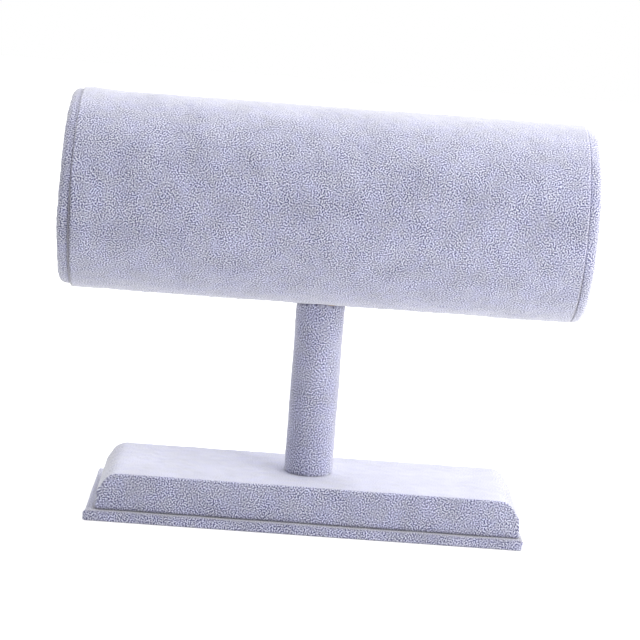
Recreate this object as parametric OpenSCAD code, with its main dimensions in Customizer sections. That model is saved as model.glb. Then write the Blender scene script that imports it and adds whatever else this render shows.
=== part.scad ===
// Headband display stand: a thick velvet roll on a round post and a low base.
// Millimetres, +Z up. The origin is on the floor, straight under the middle of the post.

/* [Roll] */
// Outer diameter of the cardboard tube in the roll
tube_d = 112; // [100:1:122]
// Wall of the cardboard tube
tube_wall = 3; // [2:0.25:5]
// Length of the cardboard tube
tube_len = 286; // [270:1:320]
// Radius of the velvet where it turns over each end of the tube
roll_edge_r = 2; // [1.4:0.1:2.6]
// How far the velvet is turned into each end of the tube
roll_turn_in = 15; // [12:1:30]
// How far the roll is screwed on to the left of the post's middle
roll_left = 0.5; // [0:0.1:2]

/* [End caps] */
// How far the rim of a cap stays below the surface of the roll
cap_step = 1.1; // [0.8:0.1:3]
// Rounding of the front edge of a cap
cap_edge_r = 4; // [2.5:0.1:4.4]
// Rounding of the back edge of a cap, where it meets the roll
cap_back_r = 2; // [0.5:0.1:2.1]
// How far the middle of a cap's face stands out
cap_crown = 0.6; // [0.2:0.1:1]
// Flange of the turned disc under the padding
flange_t = 2.2; // [2:0.1:4]
// Foam between the disc and its velvet, at the rim
pad_t = 1.6; // [1.4:0.1:3]
// Depth of the spigot that plugs the tube
spigot_len = 10; // [6:1:20]
// Radial gap round the spigot
spigot_gap = 0.9; // [0.8:0.1:1.4]
// How far the left cap sits above the tube's axis, and the right cap below it, in that gap
cap_offset = 0.7; // [0:0.1:0.7]

/* [Post] */
// Diameter of the wooden dowel
post_d = 26; // [20:0.5:32]
// Height of the post between the base and the lowest line of the roll
post_rise = 101; // [80:1:130]

/* [Base block] */
// Length of the board block
block_len = 243.4; // [200:0.2:245]
// Depth of the board block, front to back
block_depth = 74.6; // [60:0.2:76]
// Height of the board block
block_h = 19.4; // [18.4:0.2:30]
// Tight radius where the block's top turns down towards each end
block_shoulder_r = 9; // [6:0.5:12]
// Wide radius that carries on from there down each end
block_end_r = 25; // [20:1:40]
// Lean of the end, in degrees from upright, where the tight radius gives way to the wide one
block_shoulder_turn = 35; // [25:1:40]
// How far the block is screwed on to the right of the post's middle
block_right = 0.9; // [0:0.1:1]
// Radius of the velvet along the long upper creases
block_crease_r = 1.5; // [1.2:0.1:2]

/* [Base plate] */
// Length of the thin board
plate_len = 251.5; // [249:0.5:290]
// Depth of the thin board, front to back
plate_depth = 97; // [96:1:98]
// Thickness of the thin board
plate_t = 3; // [2.3:0.1:5]
// How far the plate is glued to the left of the post's middle
plate_left = 1; // [0:0.1:2]
// How far the plate is glued behind the post's middle
plate_back = 7; // [6.5:0.1:7.2]
// Radius of the velvet along the plate's upper edges
plate_edge_r = 1.7; // [1.3:0.1:2.2]
// Radius of the plate's upright corners
plate_corner_r = 2; // [1.5:0.1:4]

/* [Velvet and liner] */
// Thickness of the velvet
velvet_t = 1.2; // [0.9:0.1:1.3]
// How far the velvet is turned under the block and under the plate
turn_under = 12; // [8:1:20]
// Gap where two cut edges of velvet butt
seam_gap = 0.4; // [0.2:0.1:0.6]
// Thickness of the liner sheet under the plate
liner_t = 0.6; // [0.4:0.1:1]
// How far the liner stays inside the edges of the plate
liner_inset = 3; // [1.5:0.5:5]

/* [Screws] */
// Diameter of both wood screws
screw_d = 5; // [4:0.25:5]
// How far each screw reaches into the dowel
screw_bite = 24; // [16:1:36]
// Extra diameter of the clearance holes
hole_clear = 0.6; // [0.2:0.1:1]
// Extra diameter of the pilot holes in the dowel
pilot_clear = 0.1; // [0.05:0.05:0.3]
// Length of the wooden pad inside the tube
saddle_len = 50; // [30:1:70]
// Width of the wooden pad inside the tube
saddle_w = 36; // [24:1:48]
// Thickness of the wooden pad at its thinnest line
saddle_t = 10; // [6:0.5:16]
// Outer diameter of the washer
washer_d = 16; // [12:0.5:20]
// Thickness of the washer
washer_t = 1.2; // [0.8:0.1:2]

/* [Hidden] */

$fn = 96;
over = 1;                                             // how far a cutter runs past what it cuts
velvet = [0.73, 0.73, 0.83];
board = [0.76, 0.66, 0.5];
wood = [0.85, 0.72, 0.52];
steel = [0.72, 0.73, 0.75];

plate_z = liner_t + velvet_t;                         // underside of the thin board
plate_top = plate_z + plate_t + velvet_t;             // upper face of the covered plate
block_z = plate_top + velvet_t;                       // underside of the board block
block_top = block_z + block_h + velvet_t;             // upper face of the covered block
roll_r = tube_d / 2 + velvet_t;
roll_z = block_top + post_rise + roll_r;              // axis of the roll
roll_half = tube_len / 2 + velvet_t;                  // from the middle to the seam at a cap
tube_in_r = tube_d / 2 - tube_wall;
turned_r = tube_in_r - velvet_t;                      // bore left by the velvet turned in
post_r = post_d / 2 + velvet_t;

cap_r = roll_r - cap_step;
cap_t = 2 * velvet_t + flange_t + pad_t + cap_crown;  // thickness in the middle of a cap
flange_top = velvet_t + flange_t;
spigot_r = turned_r - spigot_gap;
spigot_chamfer = 1.5;
crown_steps = 8;

block_half = [block_len / 2 + velvet_t, block_depth / 2 + velvet_t];
plate_half = [plate_len / 2 + velvet_t, plate_depth / 2 + velvet_t];
plate_at = [-plate_left, plate_back, 0];
block_at = [block_right, 0, block_z];
// from the middle of an end arc of the block to the middle of its shoulder arc
arc_step = (block_end_r - block_shoulder_r) * [cos(block_shoulder_turn), sin(block_shoulder_turn)];
end_arc_at = [block_len / 2 - block_end_r, block_h - block_shoulder_r - arc_step.y];
liner_play = 0.4;                                     // liner's step to the edge of the turned velvet

head_d = 1.9 * screw_d;
head_h = (head_d - screw_d) / 2;                      // height of the countersunk head
pan_h = 0.6 * screw_d;                                // height of the pan head
pan_round = 0.7 * pan_h;
tip_len = screw_d;                                    // pointed end of a screw
tip_d = 0.4;
recess_w = 0.2 * screw_d;
recess_len = 0.9 * screw_d;
flat_recess = 0.7 * head_h;                           // depth of the cross in each head
pan_recess = 0.6 * pan_h;
base_screw_len = block_top - block_z + screw_bite;
saddle_top = roll_z - tube_in_r + saddle_t;
roll_screw_len = washer_t + saddle_top - (roll_z - roll_r) + screw_bite;

// a square standing on the X axis, with rounded upper and lower corners
module rounded_section(half, h, top_r, foot_r) {
    intersection() {
        translate([-half, 0]) square([2 * half, h]);
        union() {
            translate([-half, foot_r]) square([2 * half, h - top_r - foot_r]);
            translate([top_r - half, foot_r]) square([2 * (half - top_r), h - foot_r]);
            translate([foot_r - half, 0]) square([2 * (half - foot_r), h / 2]);
            for (s = [-1, 1]) {
                translate([s * (half - top_r), h - top_r]) circle(top_r);
                if (foot_r > 0)
                    translate([s * (half - foot_r), foot_r]) circle(foot_r);
            }
        }
    }
}

// a section in X and Z, carried along Y
module along_y(depth) {
    rotate([90, 0, 0]) linear_extrude(depth, center = true) children();
}

// a section in Y and Z, carried along X
module along_x(length) {
    rotate([90, 0, 90]) linear_extrude(length, center = true) children();
}

// cuts in velvet whose underside is at z = 0: the window that the turned edges leave, and the
// mitres at its four corners
module turned_under_cut(half) {
    window = half - [turn_under, turn_under];
    mitre_len = sqrt(2) * (turn_under - 2 * velvet_t);
    translate([0, 0, -over])
        linear_extrude(velvet_t + 2 * over) {
            square(2 * window, center = true);
            for (sx = [-1, 1], sy = [-1, 1])
                translate([sx * window.x, sy * window.y])
                    rotate(atan2(sy, sx))
                        translate([-over, -seam_gap / 2])
                            square([mitre_len + over, seam_gap]);
        }
}

module screw_hole(extra, low, high) {
    translate([0, 0, low]) cylinder(d = screw_d + extra, h = high - low);
}

// a plain wood screw, its head at z = 0 and its point down
module screw_shank(length) {
    translate([0, 0, tip_len - length]) cylinder(d = screw_d, h = length - tip_len);
    translate([0, 0, -length]) cylinder(d1 = tip_d, d2 = screw_d, h = tip_len);
}

module cross_recess(depth) {
    for (a = [0, 90])
        rotate([0, 0, a])
            translate([0, 0, over / 2 - depth / 2])
                cube([recess_len, recess_w, depth + over], center = true);
}

// Plate

module base_liner() {
    half = plate_half - [liner_inset, liner_inset];
    step = plate_half - [turn_under + liner_play, turn_under + liner_play];
    thin = (sqrt(2) - 1) * liner_t;                   // keeps the slope as thick as the sheet
    color([0.55, 0.55, 0.62])
        translate(plate_at)
            difference() {
                union() {
                    translate([-half.x, -half.y, 0]) cube([2 * half.x, 2 * half.y, liner_t]);
                    raised(step, 0, liner_t + velvet_t, liner_t);
                }
                raised(step - [thin, thin], -over, velvet_t, 0);
            }
}

// a low mound with a flat top and sides at 45 degrees; half is its half size at height at_z
module raised(half, low, high, at_z) {
    intersection() {
        along_y(4 * half.y) mound(half.x, low, high, at_z);
        along_x(4 * half.x) mound(half.y, low, high, at_z);
    }
}

module mound(half, low, high, at_z) {
    foot = half + at_z - low;
    top = half + at_z - high;
    polygon([[-foot, low], [foot, low], [top, high], [-top, high]]);
}

module plinth_board() {
    color(board)
        translate(plate_at + [-plate_len / 2, -plate_depth / 2, plate_z])
            cube([plate_len, plate_depth, plate_t]);
}

module plinth_cover() {
    h = plate_top - liner_t;
    color(velvet)
        translate(plate_at + [0, 0, liner_t])
            difference() {
                intersection() {
                    along_y(2 * plate_half.y) rounded_section(plate_half.x, h, plate_edge_r, velvet_t);
                    along_x(2 * plate_half.x) rounded_section(plate_half.y, h, plate_edge_r, velvet_t);
                    plate_outline(h);
                }
                translate([-plate_len / 2, -plate_depth / 2, velvet_t])
                    cube([plate_len, plate_depth, plate_t]);
                turned_under_cut(plate_half);
            }
}

// the plate seen from above, with small round corners
module plate_outline(h) {
    inner = plate_half - [plate_corner_r, plate_corner_r];
    translate([-plate_half.x, -inner.y, 0]) cube([2 * plate_half.x, 2 * inner.y, h]);
    translate([-inner.x, -plate_half.y, 0]) cube([2 * inner.x, 2 * plate_half.y, h]);
    for (sx = [-1, 1], sy = [-1, 1])
        translate([sx * inner.x, sy * inner.y, 0]) cylinder(r = plate_corner_r, h = h);
}

// Block

// the block from the front, with its board's underside at z = 0 and the outline grow outside the
// board, down to z = low; each shoulder arc runs on into a wider end arc
module block_section(grow, low, foot_r) {
    half = block_len / 2 + grow;
    flat = end_arc_at.x + arc_step.x;
    wedge = 2 * block_end_r;
    intersection() {
        translate([-half, low]) square([2 * half, block_h + grow - low]);
        union() {
            translate([-flat, low]) square([2 * flat, block_h + grow - low]);
            translate([foot_r - half, low]) square([2 * (half - foot_r), block_h / 2]);
            translate([-half, low + foot_r]) square([2 * half, max(0, end_arc_at.y - low - foot_r)]);
            for (s = [0, 1])
                mirror([s, 0]) {
                    translate(end_arc_at + arc_step) circle(block_shoulder_r + grow);
                    translate(end_arc_at)
                        intersection() {
                            circle(block_end_r + grow);
                            polygon([[0, 0], [wedge, 0], wedge * arc_step / norm(arc_step)]);
                        }
                    if (foot_r > 0)
                        translate([half - foot_r, low + foot_r]) circle(foot_r);
                }
        }
    }
}

module block_board() {
    color(board)
        difference() {
            translate(block_at) along_y(block_depth) block_section(0, 0, 0);
            screw_hole(hole_clear, block_z - over, block_top + over);
            translate([0, 0, block_z - over]) cylinder(d = head_d, h = over);
            translate([0, 0, block_z]) cylinder(d1 = head_d, d2 = screw_d, h = head_h);
        }
}

module block_cover() {
    h = block_top - plate_top;
    color(velvet)
        difference() {
            translate(block_at)
                difference() {
                    intersection() {
                        along_y(2 * block_half.y) block_section(velvet_t, -velvet_t, velvet_t);
                        translate([0, 0, -velvet_t])
                            along_x(2 * block_half.x)
                                rounded_section(block_half.y, h, block_crease_r, velvet_t);
                    }
                    along_y(block_depth) block_section(0, 0, 0);
                    translate([0, 0, -velvet_t]) turned_under_cut(block_half);
                    corner_darts();
                }
            screw_hole(hole_clear, block_z, block_top + over);
        }
}

// the cuts that let the velvet fold down past each round corner: they follow the board's end
// from where its curve begins, down to the turned edge
module corner_darts() {
    start = end_arc_at.x + arc_step.x;
    dart = block_len / 2 - start;
    for (s = [-1, 1])
        translate([0, s * (block_depth + velvet_t + over) / 2, 0])
            along_y(velvet_t + over)
                intersection() {
                    difference() {
                        block_section(0, 0, 0);
                        block_section(-seam_gap, -over, 0);
                    }
                    for (e = [-1, 1])
                        translate([e * (start + dart / 2), block_h / 2])
                            square([dart, block_h], center = true);
                }
}

module base_screw() {
    color(steel)
        translate([0, 0, block_z])
            rotate([180, 0, 0])
                difference() {
                    union() {
                        translate([0, 0, -head_h]) cylinder(d1 = screw_d, d2 = head_d, h = head_h);
                        screw_shank(base_screw_len);
                    }
                    cross_recess(flat_recess);
                }
}

// Post

// everything under the roll, within the radius r of the post
module under_roll(r) {
    difference() {
        translate([0, 0, block_top]) cylinder(r = r, h = post_rise + roll_r);
        along_roll() cylinder(r = roll_r, h = 4 * post_r, center = true);
    }
}

module post_core() {
    color(wood)
        difference() {
            under_roll(post_d / 2);
            screw_hole(pilot_clear, block_top - over, block_top + screw_bite + over);
            screw_hole(pilot_clear, roll_z - roll_r - screw_bite - over, roll_z);
        }
}

module post_sleeve() {
    color(velvet)
        difference() {
            under_roll(post_r);
            translate([0, 0, block_top - over]) cylinder(d = post_d, h = post_rise + roll_r);
            translate([-seam_gap / 2, 0, block_top - over])
                cube([seam_gap, post_r + over, post_rise + roll_r]);
        }
}

// Roll

// half of a section between two radii, with round corners at its end, carried round the roll
module wall_section(r_in, r_out, half, edge_r) {
    mid = (r_in + r_out) / 2;
    translate([mid, -half])
        rounded_section((r_out - r_in) / 2, 2 * half, edge_r, edge_r);
}

module along_roll() {
    translate([0, 0, roll_z]) rotate([0, 90, 0]) children();
}

module on_roll_axis() {
    translate([-roll_left, 0, 0]) along_roll() children();
}

module roll_cover() {
    inner_half = roll_half - roll_turn_in;
    color(velvet)
        difference() {
            on_roll_axis()
                rotate_extrude()
                    difference() {
                        wall_section(turned_r, roll_r, roll_half, roll_edge_r);
                        translate([tube_in_r, -tube_len / 2]) square([tube_wall, tube_len]);
                        translate([turned_r - over, -inner_half]) square([velvet_t + over, 2 * inner_half]);
                    }
            translate([-roll_left - roll_half - over, -seam_gap / 2, roll_z - roll_r - over])
                cube([2 * (roll_half + over), seam_gap, roll_r - turned_r + 2 * over]);
            screw_hole(hole_clear, roll_z - roll_r - over, roll_z);
        }
}

module roll_tube() {
    color([0.7, 0.58, 0.42])
        difference() {
            on_roll_axis()
                difference() {
                    cylinder(d = tube_d, h = tube_len, center = true);
                    cylinder(r = tube_in_r, h = tube_len + 2 * over, center = true);
                }
            screw_hole(hole_clear, roll_z - roll_r, roll_z);
        }
}

// the pad follows the tube below and is flat on top for the washer
module roll_saddle() {
    color(wood)
        difference() {
            intersection() {
                along_roll() cylinder(r = tube_in_r, h = saddle_len, center = true);
                translate([-saddle_len / 2, -saddle_w / 2, roll_z - tube_in_r])
                    cube([saddle_len, saddle_w, saddle_t]);
            }
            screw_hole(hole_clear, roll_z - roll_r, roll_z);
        }
}

module roll_washer() {
    color(steel)
        translate([0, 0, saddle_top])
            difference() {
                cylinder(d = washer_d, h = washer_t);
                translate([0, 0, -over]) cylinder(d = screw_d + hole_clear, h = washer_t + 2 * over);
            }
}

module roll_screw() {
    color(steel)
        translate([0, 0, saddle_top + washer_t])
            difference() {
                union() {
                    screw_shank(roll_screw_len);
                    rotate_extrude()
                        intersection() {
                            translate([-head_d / 2, 0]) rounded_section(head_d, pan_h, pan_round, 0);
                            square([head_d / 2, pan_h]);
                        }
                }
                translate([0, 0, pan_h]) cross_recess(pan_recess);
            }
}

// End caps: drawn standing on the seam plane, z outwards, then turned to either end

module at_end(side) {
    translate([-roll_left, 0, roll_z - side * cap_offset])
        rotate([0, 0, side > 0 ? 0 : 180])
            translate([roll_half, 0, 0])
                rotate([0, 90, 0]) children();
}

// half section of a cap shape with its outer radius r, from z = low up to its crowned face
module cap_section(r, low, high, edge_r, back_r) {
    shoulder = high - cap_crown;
    flat = r - edge_r;
    translate([0, low + back_r]) square([r, shoulder - edge_r - low - back_r]);
    translate([0, low]) square([r - back_r, shoulder - edge_r - low]);
    if (back_r > 0)
        translate([r - back_r, low + back_r]) circle(back_r);
    intersection() {
        translate([flat, shoulder - edge_r]) circle(edge_r);
        translate([0, low + back_r]) square([r, high]);
    }
    polygon(concat(
        [[0, low], [flat, low]],
        [for (i = [crown_steps:-1:0])
            [flat * i / crown_steps, shoulder + cap_crown * (1 - pow(i / crown_steps, 2))]]));
}

// what is inside the velvet of a cap
module cap_filling() {
    cap_section(cap_r - velvet_t, velvet_t, cap_t - velvet_t, cap_edge_r - velvet_t, 0);
}

module end_plug(side) {
    color(board)
        at_end(side)
            rotate_extrude() {
                intersection() {
                    cap_filling();
                    square([cap_r, flange_top]);
                }
                polygon([[0, -spigot_len], [spigot_r - spigot_chamfer, -spigot_len],
                    [spigot_r, spigot_chamfer - spigot_len], [spigot_r, flange_top], [0, flange_top]]);
            }
}

module end_pad(side) {
    color([0.93, 0.92, 0.88])
        at_end(side)
            rotate_extrude()
                intersection() {
                    cap_filling();
                    translate([0, flange_top]) square([cap_r, cap_t]);
                }
}

module end_cover(side) {
    color(velvet)
        at_end(side)
            rotate_extrude()
                difference() {
                    cap_section(cap_r, 0, cap_t, cap_edge_r, cap_back_r);
                    cap_filling();
                    translate([0, -over]) square([spigot_r + spigot_gap, velvet_t + 2 * over]);
                }
}

module end_plug_left() { end_plug(-1); }
module end_plug_right() { end_plug(1); }
module end_pad_left() { end_pad(-1); }
module end_pad_right() { end_pad(1); }
module end_cover_left() { end_cover(-1); }
module end_cover_right() { end_cover(1); }

base_liner();
plinth_cover();
plinth_board();
block_cover();
block_board();
base_screw();
post_core();
post_sleeve();
roll_cover();
roll_tube();
roll_saddle();
roll_washer();
roll_screw();
end_plug_left();
end_plug_right();
end_pad_left();
end_pad_right();
end_cover_left();
end_cover_right();
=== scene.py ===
"""Velvet jackets, finishes, light and camera for a display stand for headbands."""

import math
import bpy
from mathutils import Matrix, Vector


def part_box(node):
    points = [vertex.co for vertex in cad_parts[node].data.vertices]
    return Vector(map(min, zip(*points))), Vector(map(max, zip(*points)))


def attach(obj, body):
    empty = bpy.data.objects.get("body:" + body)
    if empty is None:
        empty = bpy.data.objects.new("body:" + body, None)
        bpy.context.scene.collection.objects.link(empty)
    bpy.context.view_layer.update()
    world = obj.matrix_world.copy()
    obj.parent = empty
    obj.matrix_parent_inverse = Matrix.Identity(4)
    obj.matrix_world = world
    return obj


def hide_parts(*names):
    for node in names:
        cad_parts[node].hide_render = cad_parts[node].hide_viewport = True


bl_info = {
    "name": "Headband display stand",
    "version": (1, 0, 0),
    "blender": (4, 5, 0),
    "location": "3D View > Sidebar > Stand",
    "description": "Velvet jackets, finishes and light for a display stand for headbands",
    "category": "Object",
}

import bmesh
import bpy
import numpy as np
from bpy.props import FloatProperty, FloatVectorProperty, PointerProperty
from mathutils import Matrix, Vector

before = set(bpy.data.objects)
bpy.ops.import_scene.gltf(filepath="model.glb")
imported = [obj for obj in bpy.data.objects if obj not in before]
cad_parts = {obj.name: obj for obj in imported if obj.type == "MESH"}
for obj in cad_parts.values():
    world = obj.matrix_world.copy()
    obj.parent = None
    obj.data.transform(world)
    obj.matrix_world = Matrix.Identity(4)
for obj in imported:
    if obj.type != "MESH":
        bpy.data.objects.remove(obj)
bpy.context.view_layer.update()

MM = 0.001

# An inner skin has one row and column for this many of the outer skin's
SKIN_RATIO = 4

ROLL_LOW, ROLL_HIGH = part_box("roll_cover")
POST_LOW, POST_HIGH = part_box("post_sleeve")
TUBE_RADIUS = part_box("roll_tube")[1].y
TUBE_WALL = 3 * MM
ROLL_RADIUS = ROLL_HIGH.y
ROLL_HALF = (ROLL_HIGH.x - ROLL_LOW.x) / 2
ROLL_MIDDLE = (ROLL_HIGH.x + ROLL_LOW.x) / 2
ROLL_AXIS = (ROLL_LOW.z + ROLL_HIGH.z) / 2
VELVET_T = ROLL_RADIUS - TUBE_RADIUS


# Settings that a user would change


def colour_setting(name, description, default):
    """A setting that holds a colour."""
    return FloatVectorProperty(
        name=name, description=description, default=default, subtype="COLOR", size=3, min=0.0, max=1.0
    )


def share_setting(name, description, default, low=0.0, high=1.0):
    """A setting that holds a share, shown as a slider."""
    return FloatProperty(
        name=name, description=description, default=default, min=low, max=high, subtype="FACTOR"
    )


def length_setting(name, description, default, low, high, precision=5):
    """A setting that holds a length, with its default and limits given in millimetres."""
    return FloatProperty(
        name=name,
        description=description,
        default=default * MM,
        min=low * MM,
        max=high * MM,
        precision=precision,
        unit="LENGTH",
    )


def light_setting(name, where, default):
    """A setting that holds how bright the studio is on one side."""
    description = "Brightness of the studio " + where
    return FloatProperty(name=name, description=description, default=default, min=0.0, max=5.0)


def angle_setting(name, description, degrees):
    """A setting that holds an angle, with its default given in degrees."""
    return FloatProperty(name=name, description=description, default=math.radians(degrees), subtype="ANGLE")


def place_setting(name, description, default):
    """A setting that holds a place in metres."""
    return FloatVectorProperty(
        name=name, description=description, default=default, size=3, subtype="TRANSLATION", unit="LENGTH"
    )


class VelvetSettings(bpy.types.PropertyGroup):
    """Colour and brushed pile of the velvet."""

    tip_colour: colour_setting("Tip colour", "Colour of the pile's tips", (0.81, 0.82, 0.985))
    # The nap lines are the velvet's own pattern; their dark root colour is painted shade deep in the pile
    root_colour: colour_setting(
        "Root colour", "Colour in the dark lines between the tips", (0.03, 0.03, 0.17)
    )
    # Painted shade: the colour that seams, darts, folds and contact lines take where shade falls deep in them
    painted_shade_colour: colour_setting(
        "Groove colour", "Colour deep in a seam, dart or contact line", (0.07, 0.062, 0.11)
    )
    nap_pitch: length_setting(
        "Nap pitch", "Distance from one dark line of the brushed pile to the next", 1.45, 0.5, 6
    )
    nap_depth: length_setting("Nap depth", "How far the pile stands above its dark lines", 0.15, 0, 2)
    nap_softness: share_setting(
        "Nap softness",
        "Width of the change from root to tip: a low value makes hard dark lines",
        0.172,
        low=0.02,
        high=0.5,
    )
    # Painted sheen: where the pressed attribute is high, upward faces take tip colour and a lighter pile
    painted_sheen_tips: share_setting("Pressed tips", "Share of tip colour where the pile is pressed flat", 0.57)
    painted_sheen_gain: share_setting(
        "Pressed gain", "How much lighter the pile is where it is pressed flat", 0.35
    )
    patch_contrast: share_setting(
        "Patch contrast", "Spread of the broad brushed patches, as a share of the colour", 0.045
    )


class JacketSettings(bpy.types.PropertyGroup):
    """How the velvet jackets sit on what they cover."""

    seam_gap: length_setting("Seam gap", "Gap between the butted edges of the velvet", 0.4, 0.1, 2)
    turned_in: length_setting(
        "Turned in", "Velvet turned into each end of the roll's tube", 15, 5, 30, precision=4
    )
    turned_under: length_setting(
        "Turned under", "Velvet turned under the block and under the plate", 12, 5, 20, precision=4
    )
    broad_wave: length_setting(
        "Broad wave", "Spread of the slow unevenness of the covered faces", 0.12, 0, 1
    )
    end_swell: length_setting(
        "End swell", "How far the roll's velvet swells above its left end", 0.8, 0, 2
    )
    fine_wave: length_setting("Fine wave", "Spread of the small unevenness of the pile", 0.09, 0, 1)
    groove_depth: length_setting("Groove depth", "Depth of a dart or crease in the velvet", 0.5, 0, 2)


class StudioSettings(bpy.types.PropertyGroup):
    """Light round the stand and the photograph's viewpoint."""

    front_light: light_setting("Front light", "in front of the stand", 0.0)
    back_light: light_setting("Back light", "behind the stand", 1.75)
    left_light: light_setting("Left light", "on the left", 0.0)
    right_light: light_setting("Right light", "on the right", 1.65)
    top_light: light_setting("Top light", "overhead", 1.3)
    lamp_power: FloatProperty(
        name="Lamp power",
        description="Power of the soft lamp in front on the right",
        default=1.5,
        min=0.0,
        max=100.0,
        unit="POWER",
    )
    lamp_size: FloatProperty(
        name="Lamp size",
        description="Width of the soft lamp",
        default=0.5,
        min=0.1,
        max=3.0,
        unit="LENGTH",
    )
    lamp_place: place_setting("Lamp place", "Middle of the soft lamp in front on the right", (0.5, -0.3, 0.3))
    camera_azimuth: angle_setting(
        "Camera azimuth", "Turn of the camera round the stand, from straight in front", -1.26
    )
    camera_elevation: angle_setting(
        "Camera elevation", "Height of the camera as an angle above the level", 10.77
    )
    camera_roll: angle_setting("Camera roll", "Tilt of the camera about its own line of sight", 4.42)
    camera_distance: FloatProperty(
        name="Camera distance",
        description="Distance from the camera to the point that it looks at",
        default=1.3572,
        min=0.5,
        max=5.0,
        unit="LENGTH",
    )
    camera_target: place_setting("Camera target", "Point that the camera looks at", (0.00013, 0.0, 0.11872))
    camera_lens: FloatProperty(
        name="Camera lens",
        description="Focal length in millimetres on a sensor 36 mm wide",
        default=130.93,
        min=35.0,
        max=300.0,
    )


# Surfaces


def uneven(points, shortest, longest, seed, waves=28):
    """Soft unevenness with a spread of 1: the sum of plane sine waves in random directions.

    Their wavelengths lie between shortest and longest, evenly spread in ratio.
    """
    dice = np.random.default_rng(seed)
    way = dice.normal(size=(3, waves))
    length = shortest * (longest / shortest) ** dice.random(waves)
    way *= 2 * np.pi / (length * np.linalg.norm(way, axis=0))
    start = dice.random(waves) * 2 * np.pi
    return np.sin(points @ way + start).sum(-1) * math.sqrt(2 / waves)


def ease(value, low, high):
    """0 below low, 1 above high, and between them the smooth step 3 t^2 - 2 t^3."""
    t = np.clip((value - low) / (high - low), 0, 1)
    return t * t * (3 - 2 * t)


def bell(value, centre, width):
    """A bump of height 1 at centre, exp(-((value - centre) / width)^2)."""
    return np.exp(-(((value - centre) / width) ** 2))


def trace(*parts):
    """An outline in a plane, as core points and outward directions.

    In each part (steps, start, end, first, last) the core goes straight from start to end while the
    direction turns evenly from first to last degrees. The surface lies a radius away from the core.
    """
    cores, turns = [], []
    for steps, start, end, first, last in parts:
        share = np.arange(steps) / steps
        cores.append(np.asarray(start) + share[:, None] * np.subtract(end, start))
        turns.append(first + share * (last - first))
    cores.append([parts[-1][2]])
    turns.append([parts[-1][4]])
    turn = np.radians(np.concatenate(turns))
    return np.concatenate(cores), np.stack([np.cos(turn), np.sin(turn)], -1)


def between(first, last, share):
    """Directions turned evenly from first to last on the arc between them (spherical interpolation)."""
    angle = np.arccos(np.clip((first * last).sum(-1, keepdims=True), -1, 1))
    flat = angle < 1e-6
    safe = np.where(flat, 1, np.sin(angle))
    a = np.where(flat, 1 - share, np.sin((1 - share) * angle) / safe)
    b = np.where(flat, share, np.sin(share * angle) / safe)
    return a * first + b * last


def distance_along(outline):
    """Distance along an outline from its first point to each of its points."""
    steps = np.linalg.norm(np.diff(outline, axis=0), axis=1)
    return np.concatenate([[0], np.cumsum(steps)])


def spin(flat, angles):
    """Carries points (x, r) round the X axis: y = -r sin a and z = -r cos a, with a from straight down."""
    x = np.broadcast_to(flat[:, :1], (len(flat), len(angles)))
    y = -flat[:, 1:] * np.sin(angles)
    z = -flat[:, 1:] * np.cos(angles)
    return np.stack([x, y, z], -1)


# Meshes


def grid_faces(rows, columns, first, around):
    """Quads of a grid of points numbered from first; around joins the last column to the first."""
    row = np.arange(rows - 1)[:, None] * columns
    column = np.arange(columns if around else columns - 1)[None, :]
    a = first + row + column
    b = first + row + (column + 1) % columns
    return np.stack([a, b, b + columns, a + columns], -1).reshape(-1, 4)


def rim_faces(fine, coarse):
    """Triangles between a border of the outer skin and the inner skin's border beside it."""
    spot = np.arange(len(coarse) - 1)
    f = [fine[SKIN_RATIO * spot + k] for k in range(SKIN_RATIO + 1)]
    near, far = coarse[spot], coarse[spot + 1]
    corners = (
        (f[0], f[1], near),
        (f[1], f[2], near),
        (f[2], far, near),
        (f[2], f[3], far),
        (f[3], f[4], far),
    )
    return np.concatenate([np.stack(three, -1) for three in corners])


def border(numbers, around):
    """A border's point numbers, with the first one again at the end where the border is a ring."""
    return np.append(numbers, numbers[0]) if around else numbers


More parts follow.
